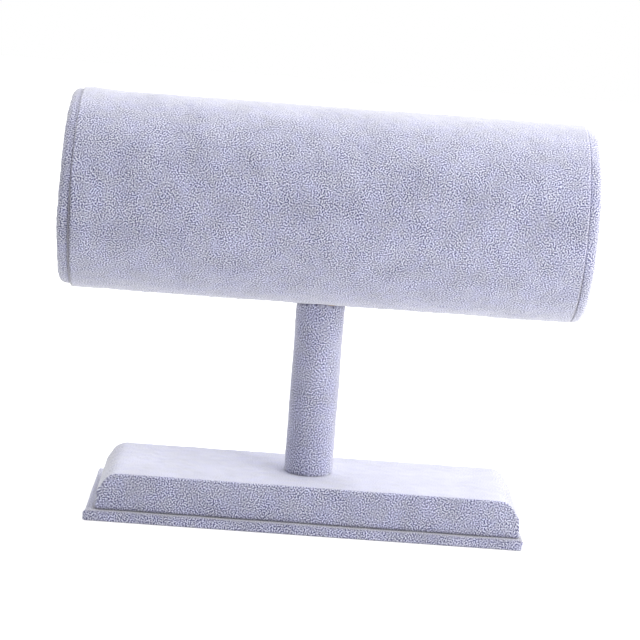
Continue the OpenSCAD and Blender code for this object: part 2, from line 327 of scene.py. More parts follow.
def add_jacket(name, core, way, radius, relief, groove, cloth, around=False, closed=False, brushed=1.0):
    """A closed sheet of velvet.

    The outer skin is core + (radius + relief) * way. The inner skin is core + (radius - thickness) * way,
    with a quarter of the rows and columns. closed says that the first row shrinks to a point or a line.
    cloth is each point's place on the velvet while it still lay flat, which its nap follows. The pressed
    attribute is painted sheen that makes the pile lighter where it looks up: its share is brushed times the
    way's upward part to the power 3. The groove attribute is painted shade.
    """
    outer = core + (radius + relief)[..., None] * way
    inner = core + np.maximum(radius - VELVET_T, 0)[..., None] * way
    inner = inner[::SKIN_RATIO, ::SKIN_RATIO]
    rows, columns = outer.shape[:2]
    fine = np.arange(rows * columns).reshape(rows, columns)
    coarse = rows * columns + np.arange(inner.shape[0] * inner.shape[1]).reshape(inner.shape[:2])
    faces = grid_faces(rows, columns, 0, around).tolist()
    faces += grid_faces(*inner.shape[:2], rows * columns, around).tolist()
    rims = [(fine[-1], coarse[-1])]
    if not closed:
        rims.append((fine[0], coarse[0]))
    for outer_rim, inner_rim in rims:
        faces += rim_faces(border(outer_rim, around), border(inner_rim, around)).tolist()
    if not around:
        for side in (0, -1):
            faces += rim_faces(fine[:, side], coarse[:, side]).tolist()
    points = np.concatenate([outer.reshape(-1, 3), inner.reshape(-1, 3)])
    mesh = bpy.data.meshes.new(name)
    mesh.from_pydata(points.tolist(), [], faces)
    bare = np.zeros(inner.shape[0] * inner.shape[1])
    # Painted sheen on faces that look up, kept in the pressed attribute
    pressed = brushed * np.clip(way[..., 2], 0, 1) ** 3
    # The groove attribute holds painted shade
    add_values(mesh, "groove", "FLOAT", "value", np.concatenate([groove.ravel(), bare]))
    add_values(mesh, "pressed", "FLOAT", "value", np.concatenate([pressed.ravel(), bare]))
    flat = np.concatenate([cloth.reshape(-1, 2), cloth[::SKIN_RATIO, ::SKIN_RATIO].reshape(-1, 2)])
    add_values(mesh, "cloth", "FLOAT_VECTOR", "vector", np.column_stack([flat, np.zeros(len(flat))]))
    return finish_piece(name, mesh)


def add_values(mesh, name, kind, field, values):
    """Gives each point of a mesh its value of a new attribute."""
    mesh.attributes.new(name, kind, "POINT").data.foreach_set(field, values.astype(np.float32).ravel())


def finish_piece(name, mesh):
    """Merges doubled points, turns the faces outwards, shades them smooth and adds the object."""
    doubled = 1e-6
    sharp_edge = math.radians(40)
    work = bmesh.new()
    work.from_mesh(mesh)
    bmesh.ops.remove_doubles(work, verts=work.verts, dist=doubled)
    bmesh.ops.recalc_face_normals(work, faces=work.faces)
    work.to_mesh(mesh)
    work.free()
    mesh.polygons.foreach_set("use_smooth", np.ones(len(mesh.polygons), bool))
    mesh.set_sharp_from_angle(angle=sharp_edge)
    return add_object(name, mesh)


def add_object(name, data):
    """A new object in the scene for a mesh, light or camera."""
    added = bpy.data.objects.new(name, data)
    bpy.context.scene.collection.objects.link(added)
    return added


def place_jacket(piece, node):
    """Gives a jacket its velvet, hangs it on the root body and hides the CAD node that it stands for."""
    piece.data.materials.append(velvet())
    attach(piece, "root")
    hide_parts(node)


def waves(points, seed):
    """The covered faces' unevenness: slow waves of 25 to 60 mm and small ones of 3 to 9 mm."""
    jackets = bpy.context.scene.stand_jackets
    slow = jackets.broad_wave * uneven(points, 25 * MM, 60 * MM, seed)
    return slow + jackets.fine_wave * uneven(points, 3 * MM, 9 * MM, seed + 1)


# The roll


def roll_angles(steps, near_seam, spacing):
    """Angles round the roll from straight down, from one edge of the butted seam to the other.

    The near_seam steps at each edge are spacing apart along the surface, and the rest are even.
    """
    gap = bpy.context.scene.stand_jackets.seam_gap / (2 * ROLL_RADIUS)
    edge = gap + np.arange(near_seam) * spacing / ROLL_RADIUS
    inner = gap + near_seam * spacing / ROLL_RADIUS
    middle = np.linspace(inner, 2 * np.pi - inner, steps - 2 * near_seam + 1)
    return np.concatenate([edge, middle, 2 * np.pi - edge[::-1]])


def make_roll_jacket():
    """Velvet round the tube, turned in over both of its ends, with its butted seam underneath.

    Its waves fade out towards the ends, and at the left end the velvet swells and leans to the right.
    """
    jackets = bpy.context.scene.stand_jackets
    edge_r = VELVET_T
    turned_r = TUBE_RADIUS - TUBE_WALL - VELVET_T
    end = ROLL_HALF - edge_r
    flap = ROLL_HALF - jackets.turned_in
    low, high = turned_r + edge_r, ROLL_RADIUS - edge_r
    length_steps, turn_steps, flap_steps, wall_steps = 240, 8, 8, 4
    core, way = trace(
        (flap_steps, (-flap, low), (-end, low), -90, -90),
        (turn_steps, (-end, low), (-end, low), -90, -180),
        (wall_steps, (-end, low), (-end, high), -180, -180),
        (turn_steps, (-end, high), (-end, high), 180, 90),
        (length_steps, (-end, high), (end, high), 90, 90),
        (turn_steps, (end, high), (end, high), 90, 0),
        (wall_steps, (end, high), (end, low), 0, 0),
        (turn_steps, (end, low), (end, low), 0, -90),
        (flap_steps, (end, low), (flap, low), -90, -90),
    )
    angles = roll_angles(steps=296, near_seam=6, spacing=0.35 * MM)
    run = distance_along(core + edge_r * way)
    cloth = np.stack(np.meshgrid(run, angles * ROLL_RADIUS, indexing="ij"), -1)
    core, way = spin(core, angles), spin(way, angles)
    lean = end_lean(-np.cos(angles))
    lean_starts, lean_is_full = ROLL_HALF - 18 * MM, ROLL_HALF - 3 * MM
    core[..., 0] += lean * ease(-core[..., 0], lean_starts, lean_is_full)
    core += np.array([ROLL_MIDDLE, 0, ROLL_AXIS])
    radius = np.full(core.shape[:2], edge_r)
    surface = core + edge_r * way
    along = surface[..., 0] - ROLL_MIDDLE
    from_end = ROLL_HALF - np.abs(along) + np.where(along < 0, lean, 0)
    outside = way[..., 1] ** 2 + way[..., 2] ** 2
    calm_until, wavy_from = 1 * MM, 9 * MM
    facing = ease(from_end, calm_until, wavy_from) * ease(outside, 0.5, 1)
    swell_middle, swell_width = -ROLL_HALF + 4 * MM, 14 * MM
    on_upper_side = ease(way[..., 2], 0.1, 0.95)
    swell = jackets.end_swell * bell(along, swell_middle, swell_width) * on_upper_side
    seam_width = 0.9 * MM
    seam = bell(np.minimum(angles, 2 * np.pi - angles)[None, :] * ROLL_RADIUS, 0, seam_width)
    relief = facing * waves(surface, seed=11) - jackets.groove_depth * seam * facing + swell
    relief = relief + closing(way, along)
    # Painted shade in the butted seam underneath and in the line beside each cap
    groove = np.maximum(seam, end_seam(along, from_end * -np.sign(along), way[..., 2]))
    piece = add_jacket("roll_jacket", core, way, radius, relief, groove, cloth)
    place_jacket(piece, "roll_cover")


def end_lean(height):
    """How far the roll's left end leans to the right at a height from -1 to 1: up to 0.7 mm near its top."""
    full_lean = 0.7 * MM
    return full_lean * ease(height, 0, 0.9)


def end_seam(side, offset, height):
    """How dark the painted shade in the line between the roll and a cap is, from its offset along X and
    its height, -1 to 1.

    It is a bell 0.75 mm wide that fades towards the top, sooner on the right. On the left its middle lies
    0.7 mm to the right, on the roll's edge that faces away from the light.
    """
    width = 0.75 * MM
    centre = np.where(side < 0, 0.7 * MM, 0)
    left = 1 - 0.7 * ease(height, -0.1, 0.3)
    right = 0.75 * (1 - 0.95 * ease(height, -0.5, -0.1))
    return bell(offset, centre, width) * np.where(side < 0, left, right)


def closing(way, side):
    """Pile that fills the groove at the roll's left end towards the top.

    It thickens the rounded edge by 0.4 mm times the sine of twice the turn from the round to the end.
    """
    thickened = 0.4 * MM
    across = 2 * np.abs(way[..., 0]) * np.sqrt(np.clip(1 - way[..., 0] ** 2, 0, 1))
    return np.where(side < 0, thickened * across * ease(way[..., 2], -0.1, 0.4), 0)


# The post


def make_post_sleeve():
    """Velvet round the dowel, butted at the back, its top cut to the round of the roll.

    The cut's height is that of the roll's surface above each point, less an uneven gap of about 0.25 mm.
    """
    jackets = bpy.context.scene.stand_jackets
    radius = POST_HIGH.x
    bottom, top = POST_LOW.z, ROLL_AXIS - ROLL_RADIUS
    rim = VELVET_T
    inside, fine_end = radius - rim, 12 * MM
    arc_steps, end_steps, length_steps, columns = 4, 24, 128, 137
    core, way = trace(
        (arc_steps, (inside, bottom + rim), (inside, bottom + rim), -90, 0),
        (end_steps, (inside, bottom + rim), (inside, bottom + fine_end), 0, 0),
        (length_steps, (inside, bottom + fine_end), (inside, top - fine_end), 0, 0),
        (end_steps, (inside, top - fine_end), (inside, top - rim), 0, 0),
        (arc_steps, (inside, top - rim), (inside, top - rim), 0, 90),
    )
    gap = jackets.seam_gap / (2 * radius)
    turn = np.linspace(gap, 2 * np.pi - gap, columns)[None, :]
    across, back = np.sin(turn), np.cos(turn)
    saddle = ROLL_AXIS - np.sqrt(ROLL_RADIUS**2 - (radius * back) ** 2)
    rim_line = np.stack([radius * across, radius * back, np.full_like(turn, top)], -1)
    cut_gap = 0.25 * MM
    saddle = saddle - cut_gap * (1 + uneven(rim_line, 6 * MM, 20 * MM, seed=31))
    share = ((core[:, 1] - bottom) / (top - bottom))[:, None]
    height = bottom + share * (saddle - bottom)
    core3 = np.stack([core[:, :1] * across, core[:, :1] * back, height], -1)
    up = np.broadcast_to(way[:, 1:], height.shape)
    way3 = np.stack([way[:, :1] * across, way[:, :1] * back, up], -1)
    reach = np.full(height.shape, rim)
    surface = core3 + rim * way3
    facing = ease(np.minimum(height - bottom, saddle - height), 0, 5 * MM)
    seam_width, seam_depth = 0.7 * MM, 0.3 * MM
    seam = bell(np.minimum(turn, 2 * np.pi - turn) * radius, 0, seam_width)
    wave_share = 0.7
    relief = facing * wave_share * waves(surface, seed=41) - seam_depth * seam * facing
    # Painted shade in the butted seam at the back, at the foot on the block and in the gap under the roll,
    # and a wide faint band of painted shadow from the roll below the cut
    groove = seam * facing
    for dark, place, width in ((0.6, bottom, 1.2 * MM), (0.8, saddle, 1.3 * MM), (0.12, saddle, 14 * MM)):
        groove = np.maximum(groove, dark * bell(height, place, width))
    cloth = np.stack(np.broadcast_arrays(turn * radius, height), -1)
    piece = add_jacket("post_sleeve_velvet", core3, way3, reach, relief, groove, cloth + 1)
    place_jacket(piece, "post_sleeve")


# The block and the plate


def plan_walk(reach_x, reach_y, along, corner_steps, end_steps):
    """Core points and outward directions round a rectangle, one column of a jacket at each.

    The walk goes along the front at the places in along, round a corner, along the right end,
    round the next corner, back along the back, and home along the left end.
    """
    ends = np.linspace(-reach_y, reach_y, end_steps + 1)[:-1]
    sweep = np.linspace(0, 90, corner_steps + 1)[:-1]
    sides = (
        (along[:-1], np.full(len(along) - 1, -reach_y), -90, reach_x, -reach_y),
        (np.full(end_steps, reach_x), ends, 0, reach_x, reach_y),
        (along[:0:-1], np.full(len(along) - 1, reach_y), 90, -reach_x, reach_y),
        (np.full(end_steps, -reach_x), -ends, 180, -reach_x, -reach_y),
    )
    xs, ys, turns = [], [], []
    for x, y, turn, corner_x, corner_y in sides:
        xs += [x, np.full(corner_steps, corner_x)]
        ys += [y, np.full(corner_steps, corner_y)]
        turns += [np.full(len(x), turn), turn + sweep]
    turn = np.radians(np.concatenate(turns))
    way = np.stack([np.cos(turn), np.sin(turn), np.zeros_like(turn)], -1)
    return np.concatenate(xs), np.concatenate(ys), way


def end_curve(run, straight, bends):
    """Where the middle of the top is after a run over it: its place along X, its drop and its lean.

    It is level up to straight and then turns down through each bend, an arc with a radius and a turn.
    From lean p to lean q on an arc, x grows by r (sin q - sin p) and the drop by r (cos p - cos q).
    """
    left = np.clip(np.abs(run) - straight, 0, None)
    x = np.minimum(np.abs(run), straight)
    drop, lean = np.zeros_like(x), np.zeros_like(x)
    for radius, turn in bends:
        part = np.minimum(left / radius, turn)
        x = x + radius * (np.sin(lean + part) - np.sin(lean))
        drop = drop + radius * (np.cos(lean) - np.cos(lean + part))
        lean = lean + part
        left = left - radius * part
    return np.sign(run) * x, drop, np.sign(run) * lean


def tray(half, height, crease_r, foot_r, bends, turned, rows, columns):
    """Core points, directions, radii and flat places of a jacket over a board that stands at the origin.

    Each column starts on the board's middle line, goes over the top, round the crease, down the side
    and round the foot, and ends under the board. bends turns the top down at its two ends.
    """
    top_rows, crease_rows, side_rows, foot_rows, under_rows = rows
    middle_steps, bend_steps, corner_steps, end_steps = columns
    reach_x, reach_y = half.x - crease_r, half.y - crease_r
    bent_run = sum(radius * turn for radius, turn in bends)
    straight = reach_x - end_curve(np.array([bent_run]), 0, bends)[0][0]
    right = straight + bent_run * np.arange(1, bend_steps + 1) / max(bend_steps, 1)
    along = np.concatenate([-right[::-1], np.linspace(-straight, straight, middle_steps + 1), right])
    run_rim, cy, side_way = plan_walk(straight + bent_run, reach_y, along, corner_steps, end_steps)
    spine = np.clip(run_rim, half.y - half.x, half.x - half.y)
    share = (np.arange(top_rows) / top_rows)[:, None]
    x, drop, lean = end_curve(spine + share * (run_rim - spine), straight, bends)
    cores = [np.stack([x, share * cy, height - crease_r - drop], -1)]
    ways = [np.stack([np.sin(lean), np.zeros_like(x), np.cos(lean)], -1)]
    cloths = [np.stack([spine + share * (run_rim - spine), share * cy], -1)]
    cx, drop, lean = end_curve(run_rim, straight, bends)
    z_rim = height - crease_r - drop
    rim = np.stack([cx, cy, z_rim], -1)
    rim_way = np.stack([np.sin(lean), np.zeros_like(cx), np.cos(lean)], -1)
    share = (np.arange(crease_rows) / crease_rows)[:, None, None]
    cores.append(np.broadcast_to(rim, (crease_rows, *rim.shape)))
    ways.append(between(rim_way[None], side_way[None], share))
    closer_at_crease = 1.4
    share = ((np.arange(side_rows) / side_rows) ** closer_at_crease)[:, None, None]
    fall = np.stack([0 * cx, 0 * cx, z_rim - foot_r], -1)
    cores.append(rim - share * fall)
    ways.append(np.broadcast_to(side_way, (side_rows, *rim.shape)))
    foot = np.stack([cx, cy, 0 * cx + foot_r], -1) + (crease_r - foot_r) * side_way
    down = np.array([0, 0, -1.0])
    share = (np.arange(foot_rows) / foot_rows)[:, None, None]
    cores.append(np.broadcast_to(foot, (foot_rows, *rim.shape)))
    ways.append(between(side_way[None], down[None, None], share))
    window_x, window_y = half.x - turned, half.y - turned
    window = np.stack([np.clip(cx, -window_x, window_x), np.clip(cy, -window_y, window_y), foot[:, 2]], -1)
    share = (np.arange(under_rows + 1) / under_rows)[:, None, None]
    cores.append(foot + share * (window - foot))
    ways.append(np.broadcast_to(down, (under_rows + 1, *rim.shape)))
    upper = np.full((top_rows + crease_rows + side_rows, len(cx)), crease_r)
    lower = np.full((foot_rows + under_rows + 1, len(cx)), foot_r)
    core, way, radius = np.concatenate(cores), np.concatenate(ways), np.concatenate([upper, lower])
    past_rim = core[top_rows:] + radius[top_rows:, :, None] * way[top_rows:]
    fallen = np.linalg.norm(np.diff(past_rim, axis=0, prepend=past_rim[:1]), axis=-1).cumsum(0)
    start = np.stack([cx + (run_rim - cx) * np.abs(side_way[:, 0]), cy], -1)
    fallen = fallen + drop * np.abs(side_way[:, 1])
    cloths.append(start + fallen[..., None] * side_way[:, :2])
    return core, way, radius, np.concatenate(cloths)


def node_middle(node):
    """A node's middle in plan, its half sizes, its foot and its height."""
    low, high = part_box(node)
    middle = (low + high) / 2
    half = (high - low) / 2
    return middle, half, low.z, high.z - low.z


def flat_cut(half, height):
    """Width and depth of the velvet cut for a board: its top, its sides and what is turned under."""
    more = height + bpy.context.scene.stand_jackets.turned_under
    return 2 * (half.x + more), 2 * (half.y + more)


def make_block_jacket():
    """Velvet over the block, with darts at its four rounded corners, turned under at its foot.

    It is padded over the board's end corners and calmer on the top. It has painted shade at its foot, in
    its darts and in a notch near the front's right end, and a painted shadow on its top in front of the post.
    """
    jackets = bpy.context.scene.stand_jackets
    middle, half, base, height = node_middle("block_cover")
    crease_r, shoulder_r, end_r = 1.5 * MM, 10.2 * MM, 26.2 * MM
    bends = ((shoulder_r - crease_r, math.radians(55)), (end_r - crease_r, math.radians(35)))
    rows, columns = (36, 8, 36, 4, 4), (112, 32, 8, 32)
    board = half, height, crease_r, VELVET_T, bends
    core, way, radius, cloth = tray(*board, jackets.turned_under, rows, columns)
    core = core + np.array([middle.x, middle.y, base])
    surface = core + radius[..., None] * way
    above = surface[..., 2] - base
    upward, forward = np.clip(way[..., 2], 0, 1), np.clip(-way[..., 1], 0, 1)
    corner_z, corner_spread, padding = 11 * MM, 2.2 * MM, 0.65 * MM
    bulge = ease(np.abs(way[..., 0]), 0.5, 0.9) * bell(above, corner_z, corner_spread)
    calm = (1 - bulge) * (1 - 0.5 * upward**3)
    relief = ease(above, 0, 3 * MM) * calm * waves(surface, seed=61) + padding * bulge
    dart_starts, dart_length, dart_depth, dart_rows = 106 * MM, 4 * MM, 0.15 * MM, 1.5
    crease_end = rows[0] + rows[1] + 1
    on_side = np.abs(way[..., 1]) > 0.02
    past = np.abs(core[..., 0] - middle.x) - dart_starts
    dart = bell(np.arange(len(core))[:, None], crease_end, dart_rows) * ease(past, 0, dart_length) * on_side
    relief = relief - dart_depth * dart
    # Painted shade where the foot meets the plate
    foot_line = bell(above, 0, 1.2 * MM)
    # Painted shadow of the post on the top in front of it
    shade_x, shade_y, shade_width = 10 * MM, -22 * MM, 24 * MM
    from_shade = np.hypot(surface[..., 0] - shade_x, surface[..., 1] - shade_y)
    shade = bell(from_shade, 0, shade_width) * upward
    # Painted shade in a notch near the front's right end
    notch_x, notch_z, notch_width, notch_height = 116 * MM, 0.8 * MM, 0.5 * MM, 2.5 * MM
    notch = bell(surface[..., 0], notch_x, notch_width) * bell(above, notch_z, notch_height) * forward
    # Painted shade in the darts as well
    groove = 0.25 * dart
    for dark, place in ((0.9, foot_line), (0.22, shade), (0.8, notch)):
        groove = np.maximum(groove, dark * place)
    piece = add_jacket("block_jacket", core, way, radius, relief, groove, cloth + 2, around=True, closed=True)
    width, depth = flat_cut(half, height)
    side_share, turned_area, most_of_cut = 0.95, 0.007, 0.9
    area = 4 * half.x * half.y + 4 * (half.x + half.y) * height * side_share + turned_area
    area = min(area, most_of_cut * width * depth)
    place_jacket(piece, "block_cover")


def foot_sag(way, core, middle, half):
    """How far the plate's velvet hangs below its board: 0.5 mm at its rim, and nothing 1.3 mm further in."""
    inside_x = half.x - np.abs(core[..., 0] - middle.x)
    inside_y = half.y - np.abs(core[..., 1] - middle.y)
    from_rim = np.minimum(inside_x, inside_y) - VELVET_T
    sag, sag_width = 0.5 * MM, 1.3 * MM
    return sag * np.clip(-way[..., 2], 0, 1) * (1 - ease(from_rim, 0, sag_width))


def make_plate_jacket():
    """Velvet over the base plate, wrapped round its edges and mitred where it is turned under.

    Its left side is pulled in, apart from an ear at the front corner, and its front right corner slants
    in towards the foot. It has painted shade round the block, on the lip in front of the block, and at its
    foot, and painted sheen on its top behind the front of the block.
    """
    jackets = bpy.context.scene.stand_jackets
    middle, half, base, height = node_middle("plinth_cover")
    rows, columns = (44, 8, 20, 8, 4), (120, 0, 8, 48)
    crease_r, no_bends = 1.7 * MM, ()
    board = half, height, crease_r, VELVET_T, no_bends
    core, way, radius, cloth = tray(*board, jackets.turned_under, rows, columns)
    core = core + np.array([middle.x, middle.y, base])
    surface = core + radius[..., None] * way
    upward, leftward, rightward = (np.clip(part, 0, 1) for part in (way[..., 2], -way[..., 0], way[..., 0]))
    to_left = surface[..., 0] - middle.x + half.x
    to_right = middle.x + half.x - surface[..., 0]
    to_front = surface[..., 1] - middle.y + half.y
    share = ease(surface[..., 2], base, base + height)
    pulled_in, ear_reach, slant_reach = 0.8 * MM, 0.4 * MM, 0.8 * MM
    kept_out, ear_width, slant_width = 3 * MM, 3.5 * MM, 5 * MM
    on_left = leftward * (1 - bell(to_front, 0, kept_out))
    ear_way = np.clip(-way[..., 0] - 0.3 * way[..., 1], 0, 1)
    ear = bell(np.hypot(to_left, to_front), 0, ear_width) * ear_way
    slant = bell(np.hypot(to_right, to_front), 0, slant_width) * rightward * (1 - share)
    wave_share = 0.7
    relief = share * wave_share * waves(surface, seed=81) - pulled_in * on_left
    relief = relief + ear_reach * ear - slant_reach * slant
    relief = relief + foot_sag(way, core, middle, half)
    block_low, block_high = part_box("block_cover")
    past_x = np.maximum(block_low.x - surface[..., 0], surface[..., 0] - block_high.x)
    past_y = np.maximum(block_low.y - surface[..., 1], surface[..., 1] - block_high.y)
    past_block = np.maximum(past_x, past_y)
    # Painted shade: a dark line where the block meets the plate, a fainter stripe beside it, the plate's foot
    # and the lip in front of the block
    at_block = upward * bell(past_block, 0.3 * MM, 1.0 * MM)
    beside_block = upward * bell(past_block, 3 * MM, 0.6 * MM)
    at_foot = bell(surface[..., 2], 0, 0.7 * MM)
    on_lip = upward * (1 - ease(surface[..., 1], block_low.y, block_low.y + 1 * MM))
    groove = np.zeros_like(share)
    for dark, place in ((0.9, at_block), (0.3, beside_block), (0.6, at_foot), (0.4, on_lip)):
        groove = np.maximum(groove, dark * place)
    # Painted sheen on the plate's top behind the front of the block, none on the lip
    ledge_painted_sheen, lip_end = 0.75, block_low.y + 12 * MM
    brushed = ledge_painted_sheen * ease(surface[..., 1], block_low.y, lip_end)
    shape = core, way, radius, relief, groove, cloth + 3
    piece = add_jacket("plate_jacket", *shape, around=True, closed=True, brushed=brushed)
    place_jacket(piece, "plinth_cover")


# The end covers


def make_end_cover(side):
    """Velvet over the foam of one end disc, gathered round the rim and glued behind it.

    The outline goes from the middle of the crowned face, round the edge, and to the back.
    """
    name = "end_cover_left" if side < 0 else "end_cover_right"
    low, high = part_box(name)
    edge_r, back_r, crown, tuck, puff = 4 * MM, VELVET_T, 0.6 * MM, 3.6 * MM, 0.3 * MM
    outer_r = high.y
    depth = high.x - low.x
    face = depth - crown - edge_r
    seam_plane = low.x if side > 0 else -high.x
    face_steps, edge_steps, wall_steps, back_steps, columns = 80, 16, 4, 8, 288
    core, way = trace(
        (face_steps, (face, 0), (face, outer_r - edge_r), 0, 0),
        (edge_steps, (face, outer_r - edge_r), (face, outer_r - edge_r), 0, 90),
    )
    radius = np.full(len(core), edge_r)
    back_core, back_way = trace(
        (wall_steps, (face, outer_r - back_r), (back_r, outer_r - back_r), 90, 90),
        (back_steps, (back_r, outer_r - back_r), (back_r, outer_r - back_r), 90, 180),
        (wall_steps, (back_r, outer_r - back_r), (back_r, outer_r - tuck), 180, 180),
    )
    core = np.concatenate([core[:-1], back_core])
    way = np.concatenate([way[:-1], back_way])
    radius = np.concatenate([radius[:-1], np.full(len(back_core), back_r)])
    swell = crown * np.clip(1 - (core[:, 1] / (outer_r - edge_r)) ** 2, 0, 1)
    core[:, 0] += swell + puff * ease(core[:, 0], 2 * MM, face)
    angles = np.linspace(0, 2 * np.pi, columns + 1)[:-1]
    run = distance_along(core + radius[:, None] * way)[:, None]
    cloth = np.stack([run * np.sin(angles), run * np.cos(angles)], -1) + 5 + side
    core3, way3 = spin(core, angles), spin(way, angles)
    core3[..., 0] = side * (seam_plane + core3[..., 0])
    way3[..., 0] *= side
    core3[..., 2] += (low.z + high.z) / 2
    lean = end_lean(-np.cos(angles)) if side < 0 else 0
    core3[..., 0] += lean
    reach = np.broadcast_to(radius[:, None], core3.shape[:2])
    surface = core3 + reach[..., None] * way3
    from_back = np.abs(surface[..., 0] - lean) - seam_plane
    relief = ease(from_back, 0.5 * MM, 3 * MM) * waves(surface, seed=101 if side < 0 else 121)
    relief = relief + np.where(from_back < 2 * MM, closing(way3, side), 0)
    # Painted shade in the line next to the roll
    groove = end_seam(side, from_back * side, -np.cos(angles)[None, :])
    piece = add_jacket(
        name + "_velvet", core3, way3, reach, relief, groove, cloth, around=True, closed=True
    )
    place_jacket(piece, name)


# Finishes


def empty_tree(owner):
    """The node tree of a material or world, with nothing in it."""
    owner.use_nodes = True
    owner.node_tree.nodes.clear()
    return owner.node_tree


def new_finish(name):
    """An empty material with its Principled shader and output joined."""
    material = bpy.data.materials.new(name)
    tree = empty_tree(material)
    shader = tree.nodes.new("ShaderNodeBsdfPrincipled")
    output = tree.nodes.new("ShaderNodeOutputMaterial")
    tree.links.new(shader.outputs["BSDF"], output.inputs["Surface"])
    return material, tree, shader


def put(tree, socket, value):
    """Joins an output to an input socket, or sets the socket's own value."""
    if isinstance(value, bpy.types.NodeSocket):
        tree.links.new(value, socket)
    else:
        socket.default_value = value


def add_node(tree, kind, inputs=None, **settings):
    """One node, its settings, and its inputs by name or number."""
    node = tree.nodes.new(kind)
    for key, value in settings.items():
        setattr(node, key, value)
    for key, value in (inputs or {}).items():
        put(tree, node.inputs[key], value)
    return node


def maths(tree, operation, first, second):
    """The result of one Math node."""
    return add_node(tree, "ShaderNodeMath", {0: first, 1: second}, operation=operation).outputs[0]


def noise(tree, where, size, detail=0.0, roughness=0.5):
    """Noise with features about size metres across, read at where."""
    settings = {"Vector": where, "Scale": 1 / size, "Detail": detail, "Roughness": roughness}
    return add_node(tree, "ShaderNodeTexNoise", settings).outputs["Fac"]


def worms(tree, where, pitch):
    """Short wavy lines pitch apart in every direction: isotropic Gabor noise, 1.4 waves to a cell."""
    waves_in_cell = 1.4
    scale = 1 / (pitch * waves_in_cell)
    settings = {"Vector": where, "Scale": scale, "Frequency": waves_in_cell, "Anisotropy": 0.0}
    return add_node(tree, "ShaderNodeTexGabor", settings, gabor_type="2D").outputs["Value"]


def stretched(tree, where, scale, turn):
    """The place where, turned by turn degrees about each axis and scaled, for long streaks."""
    inputs = {"Vector": where, "Rotation": [math.radians(a) for a in turn], "Scale": scale}
    return add_node(tree, "ShaderNodeMapping", inputs).outputs[0]


def between_values(tree, value, low, high, to_low, to_high):
    """Maps a value from low..high to to_low..to_high, held at both ends."""
    inputs = {"Value": value, "From Min": low, "From Max": high, "To Min": to_low, "To Max": to_high}
    return add_node(tree, "ShaderNodeMapRange", inputs).outputs["Result"]


def spread(tree, value, to_low, to_high):
    """Maps the middle of a noise's values, where nearly all of them lie, to to_low..to_high."""
    return between_values(tree, value, 0.3, 0.7, to_low, to_high)


def point_value(tree, name, part="Fac"):
    """A value that add_jacket gave to the points of a piece."""
    return add_node(tree, "ShaderNodeAttribute", attribute_name=name).outputs[part]


def mixed(tree, share, first, second, blend="MIX"):
    """The colour from first to second by share, by the Mix node's blend."""
    node = add_node(tree, "ShaderNodeMix", data_type="RGBA", blend_type=blend)
    put(tree, node.inputs["Factor"], share)
    colours = [s for s in node.inputs if s.type == "RGBA"]
    put(tree, colours[0], first)
    put(tree, colours[1], second)
    return [s for s in node.outputs if s.type == "RGBA"][0]


def grey(tree, value):
    """A grey colour with the value in all three parts."""
    return add_node(tree, "ShaderNodeCombineColor", {0: value, 1: value, 2: value}).outputs[0]


